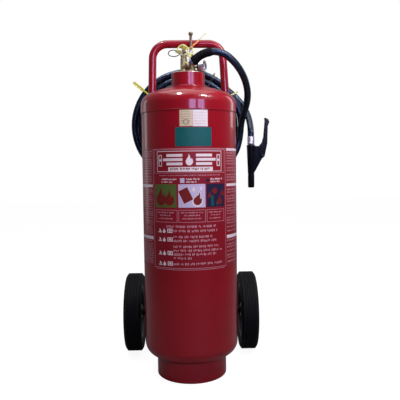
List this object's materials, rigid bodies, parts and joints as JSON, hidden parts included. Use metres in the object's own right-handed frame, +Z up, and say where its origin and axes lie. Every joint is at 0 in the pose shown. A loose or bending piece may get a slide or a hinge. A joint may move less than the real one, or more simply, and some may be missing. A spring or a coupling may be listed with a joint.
{
  "type": "wheeled fire extinguisher",
  "caption": "Wheeled dry-powder fire extinguisher: red steel vessel on a foot ring and two solid-tyred wheels, with tube handle, brass lever valve, coiled hose and trigger nozzle.",
  "frame": {"origin": "on the floor, under the middle of the box that the extinguisher fills without its hose", "axes": "+Z up along the vessel, -Y towards the front where the label is, +X to the side where the nozzle hangs"},
  "size_m": [0.511, 0.514, 1.095],
  "materials": {
    "cylinder_body": "glossy baked red paint",
    "top_dome": "glossy baked red paint",
    "bottom_dome": "glossy baked red paint",
    "base_ring": "glossy baked red paint",
    "neck_collar": "glossy baked red paint",
    "handle_tube": "glossy baked red paint",
    "axle_bracket_left": "glossy baked red paint",
    "axle_bracket_right": "glossy baked red paint",
    "hose_bracket": "glossy baked red paint",
    "axle": "zinc-plated steel",
    "axle_spacer_left": "satin black paint",
    "axle_spacer_right": "satin black paint",
    "axle_washer_left": "zinc-plated steel",
    "axle_washer_right": "zinc-plated steel",
    "axle_pin_left": "zinc-plated steel",
    "axle_pin_right": "zinc-plated steel",
    "tyre_left": "solid black rubber",
    "tyre_right": "solid black rubber",
    "wheel_rim_left": "satin black paint",
    "wheel_rim_right": "satin black paint",
    "wheel_bushing_left": "white plastic",
    "wheel_bushing_right": "white plastic",
    "neck_gasket": "black rubber",
    "valve_body": "cast and turned brass, slightly dull",
    "dip_tube": "white plastic",
    "gland_nut": "cast and turned brass, slightly dull",
    "valve_stem": "zinc-plated steel",
    "stem_spring": "zinc-plated steel",
    "valve_yoke": "cast and turned brass, slightly dull",
    "lever_pivot_pin": "zinc-plated steel",
    "valve_lever": "cast and turned brass, slightly dull",
    "safety_pin": "bent steel wire",
    "seal_tag_front": "yellow plastic seal",
    "seal_tag_back": "yellow plastic seal",
    "seal_loop": "yellow plastic seal",
    "seal_tail": "yellow plastic seal",
    "gauge_stem": "cast and turned brass, slightly dull",
    "gauge_case": "bright nickel plate",
    "gauge_bourdon_tube": "cast and turned brass, slightly dull",
    "gauge_dial": "white plastic",
    "gauge_needle": "satin black paint",
    "gauge_lens": "clear flat window",
    "hose_nut": "bright nickel plate",
    "outlet_elbow": "cast and turned brass, slightly dull",
    "hose_lead": "smooth black rubber cover",
    "hose_tail": "smooth black rubber cover",
    "hose_coil": "smooth black rubber cover",
    "coil_tie_left": "yellow plastic seal",
    "coil_tie_right": "yellow plastic seal",
    "coil_tie_top": "white plastic",
    "gun_ferrule": "bright nickel plate",
    "gun_body": "moulded black plastic, fine grain",
    "gun_nozzle": "moulded black plastic, fine grain",
    "gun_plunger": "zinc-plated steel",
    "gun_spring": "zinc-plated steel",
    "gun_trigger": "moulded black plastic, fine grain",
    "gun_pivot_pin": "zinc-plated steel"
  },
  "bodies": {
    "root": {"cylinder_body": "cylinder_body", "top_dome": "top_dome", "bottom_dome": "bottom_dome", "base_ring": "base_ring", "neck_collar": "neck_collar", "handle_tube": "handle_tube", "axle_bracket_left": "axle_bracket_left", "axle_bracket_right": "axle_bracket_right", "hose_bracket": "hose_bracket", "axle": "axle", "axle_spacer_left": "axle_spacer_left", "axle_spacer_right": "axle_spacer_right", "axle_washer_left": "axle_washer_left", "axle_washer_right": "axle_washer_right", "axle_pin_left": "axle_pin_left", "axle_pin_right": "axle_pin_right", "neck_gasket": "neck_gasket", "valve_body": "valve_body", "dip_tube": "dip_tube", "gland_nut": "gland_nut", "stem_spring": "stem_spring", "valve_yoke": "valve_yoke", "lever_pivot_pin": "lever_pivot_pin", "gauge_stem": "gauge_stem", "gauge_case": "gauge_case", "gauge_bourdon_tube": "gauge_bourdon_tube", "gauge_dial": "gauge_dial", "gauge_lens": "gauge_lens", "hose_nut": "hose_nut", "outlet_elbow": "outlet_elbow", "hose_lead": "hose_lead", "hose_tail": "hose_tail", "hose_coil": "hose_coil", "coil_tie_left": "coil_tie_left", "coil_tie_right": "coil_tie_right", "coil_tie_top": "coil_tie_top", "gun_ferrule": "gun_ferrule", "gun_body": "gun_body", "gun_nozzle": "gun_nozzle", "gun_spring": "gun_spring", "gun_pivot_pin": "gun_pivot_pin"},
    "wheel_left": {"tyre_left": "tyre_left", "wheel_rim_left": "wheel_rim_left", "wheel_bushing_left": "wheel_bushing_left"},
    "wheel_right": {"tyre_right": "tyre_right", "wheel_rim_right": "wheel_rim_right", "wheel_bushing_right": "wheel_bushing_right"},
    "lever": {"valve_lever": "valve_lever", "seal_loop": "seal_loop", "seal_tail": "seal_tail"},
    "stem": {"valve_stem": "valve_stem"},
    "pin": {"safety_pin": "safety_pin", "seal_tag_front": "seal_tag_front", "seal_tag_back": "seal_tag_back"},
    "trigger": {"gun_trigger": "gun_trigger"},
    "plunger": {"gun_plunger": "gun_plunger"},
    "needle": {"gauge_needle": "gauge_needle"}
  },
  "joints": [
    {"name": "wheel_left_spin", "type": "hinge", "parent": "root", "child": "wheel_left", "pos_m": [-0.01895, 0.117, 0.14], "axis": [1, 0, 0], "continuous": true},
    {"name": "wheel_right_spin", "type": "hinge", "parent": "root", "child": "wheel_right", "pos_m": [-0.01895, 0.117, 0.14], "axis": [1, 0, 0], "continuous": true},
    {"name": "lever_swing", "type": "hinge", "parent": "root", "child": "lever", "pos_m": [-0.00895, -0.105, 1.032], "axis": [0, 1, 0], "range_deg": [0, 20], "stiffness_Nm_per_rad": 0.5, "springref_deg": -5.73},
    {"name": "stem_lift", "type": "slide", "parent": "root", "child": "stem", "axis": [0, 0, 1], "range_m": [0, 0.0101], "deforming": ["stem_spring"]},
    {"name": "pin_pull", "type": "slide", "parent": "root", "child": "pin", "axis": [-1, 0, 0], "range_m": [0, 0.03]},
    {"name": "trigger_squeeze", "type": "hinge", "parent": "root", "child": "trigger", "pos_m": [0.23105, 0.005, 0.706], "axis": [0, -1, 0], "range_deg": [0, 16], "stiffness_Nm_per_rad": 0.4, "springref_deg": -8.59},
    {"name": "plunger_push", "type": "slide", "parent": "root", "child": "plunger", "axis": [-1, 0, 0], "range_m": [0, 0.0073], "deforming": ["gun_spring"]},
    {"name": "needle_turn", "type": "hinge", "parent": "root", "child": "needle", "pos_m": [0.01105, -0.105, 0.986], "axis": [0.9063, -0.4226, 0], "range_deg": [-100, 60], "stiffness_Nm_per_rad": 0.002}
  ],
  "couplings": [
    {"joint": "stem_lift", "follows": "lever_swing", "m_per_rad": 0.02865},
    {"joint": "plunger_push", "follows": "trigger_squeeze", "m_per_rad": 0.02578}
  ]
}
